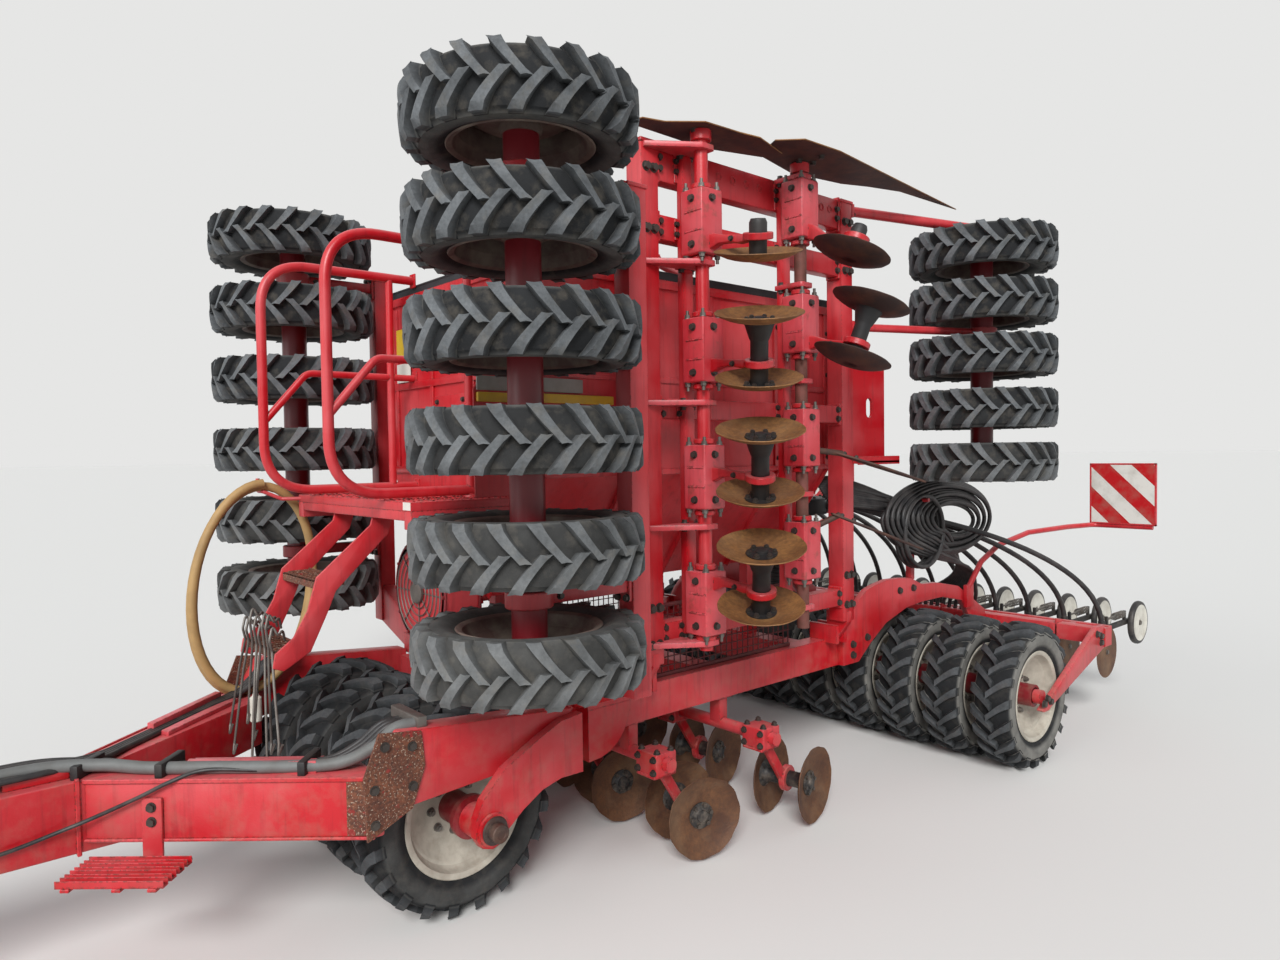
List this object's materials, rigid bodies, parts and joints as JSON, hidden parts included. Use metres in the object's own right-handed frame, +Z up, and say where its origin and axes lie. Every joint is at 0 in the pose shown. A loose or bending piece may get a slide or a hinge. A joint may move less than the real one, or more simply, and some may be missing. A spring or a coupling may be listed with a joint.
{
  "type": "folded seed drill",
  "caption": "Trailed seed drill with its wings folded up for the road: tyre packers, disc sections, grain hopper, drawbar and rear coulter bar.",
  "frame": {"origin": "on the ground, midway along the length and across the width", "axes": "+X forward along the drawbar, +Y to the machine's left, +Z up"},
  "size_m": [7.7198, 3.0418, 3.197],
  "materials": {
    "red_paint": "sun-faded red enamel with chips and dust",
    "axle_paint": "dark red enamel, dusty",
    "tyre_rubber": "dusty black rubber",
    "worn_steel": "rusted and soil-worn steel",
    "bare_steel": "dull zinc",
    "board_sheet": "reflective sheet, red and white stripes",
    "white_plastic": "dusty white moulding",
    "black_iron": "black painted casting",
    "cover_sheet": "coated cover sheet",
    "hose_rubber": "black hose"
  },
  "bodies": {
    "machine": {"chassis": "red_paint", "drawbar_nose": "red_paint", "drawbar_beams": "red_paint", "hitch_eye": "bare_steel", "jack_sleeve": "red_paint", "drawbar_step": "red_paint", "front_arms": "red_paint", "hopper": "red_paint", "platform": "red_paint", "ladder": "red_paint", "handrails": "red_paint", "mesh_guards": "red_paint", "fan": "red_paint", "centre_disc_bars": "red_paint", "centre_discs": "worn_steel", "rear_arms": "red_paint", "coulter_bar": "red_paint", "coulters": "black_iron", "press_wheels": "white_plastic", "board_arms": "red_paint", "warning_boards": "board_sheet", "distributor": "black_iron", "hose_coil": "hose_rubber", "seed_hoses": "hose_rubber"},
    "front_centre_packer": {"front_centre_tyres": "tyre_rubber", "front_centre_axle": "axle_paint"},
    "rear_centre_packer": {"rear_centre_tyres": "tyre_rubber", "rear_centre_axle": "axle_paint"},
    "front_left_wing": {"front_left_frame": "red_paint"},
    "front_left_packer": {"front_left_tyres": "tyre_rubber", "front_left_axle": "axle_paint"},
    "front_right_wing": {"front_right_frame": "red_paint"},
    "front_right_packer": {"front_right_tyres": "tyre_rubber", "front_right_axle": "axle_paint"},
    "left_wing": {"left_wing_posts": "red_paint", "left_wing_beams": "red_paint", "left_wing_rails": "red_paint", "left_packer_arms": "red_paint", "left_disc_bars": "red_paint", "left_discs": "worn_steel", "left_deflectors": "worn_steel"},
    "rear_left_packer": {"rear_left_tyres": "tyre_rubber", "rear_left_axle": "axle_paint"},
    "right_wing": {"right_wing_posts": "red_paint", "right_wing_beams": "red_paint", "right_wing_rails": "red_paint", "right_packer_arms": "red_paint", "right_disc_bars": "red_paint", "right_discs": "worn_steel", "right_deflectors": "worn_steel"},
    "rear_right_packer": {"rear_right_tyres": "tyre_rubber", "rear_right_axle": "axle_paint"},
    "lid": {"hopper_lid": "cover_sheet"},
    "stand": {"jack_leg": "bare_steel"}
  },
  "joints": [
    {"name": "front_packer_spin", "type": "hinge", "parent": "machine", "child": "front_centre_packer", "pos_m": [1.22, 0, 0.404], "axis": [0, 1, 0], "continuous": true},
    {"name": "rear_packer_spin", "type": "hinge", "parent": "machine", "child": "rear_centre_packer", "pos_m": [-1.93, 0, 0.404], "axis": [0, 1, 0], "continuous": true},
    {"name": "front_left_fold", "type": "hinge", "parent": "machine", "child": "front_left_wing", "pos_m": [0.74, 0.7, 0.804], "axis": [-1, 0, 0], "range_deg": [0, 90]},
    {"name": "front_right_fold", "type": "hinge", "parent": "machine", "child": "front_right_wing", "pos_m": [0.74, -0.7, 0.804], "axis": [1, 0, 0], "range_deg": [0, 90]},
    {"name": "left_fold", "type": "hinge", "parent": "machine", "child": "left_wing", "pos_m": [0.38, 0.727, 0.797], "axis": [-1, 0, 0], "range_deg": [0, 90]},
    {"name": "right_fold", "type": "hinge", "parent": "machine", "child": "right_wing", "pos_m": [0.38, -0.727, 0.797], "axis": [1, 0, 0], "range_deg": [0, 90]},
    {"name": "front_left_spin", "type": "hinge", "parent": "front_left_wing", "child": "front_left_packer", "pos_m": [1.22, 1.1, 1.118], "axis": [0, 0, 1], "continuous": true},
    {"name": "front_right_spin", "type": "hinge", "parent": "front_right_wing", "child": "front_right_packer", "pos_m": [1.22, -1.1, 1.118], "axis": [0, 0, 1], "continuous": true},
    {"name": "rear_left_spin", "type": "hinge", "parent": "left_wing", "child": "rear_left_packer", "pos_m": [-1.93, 1.12, 1.72], "axis": [0, 0, 1], "continuous": true},
    {"name": "rear_right_spin", "type": "hinge", "parent": "right_wing", "child": "rear_right_packer", "pos_m": [-1.93, -1.12, 1.72], "axis": [0, 0, 1], "continuous": true},
    {"name": "lid_hinge", "type": "hinge", "parent": "machine", "child": "lid", "pos_m": [-0.12, -0.64, 2.615], "axis": [1, 0, 0], "range_deg": [0, 80]},
    {"name": "jack_slide", "type": "slide", "parent": "machine", "child": "stand", "axis": [0, 0, 1], "range_m": [0, 0.3]}
  ]
}
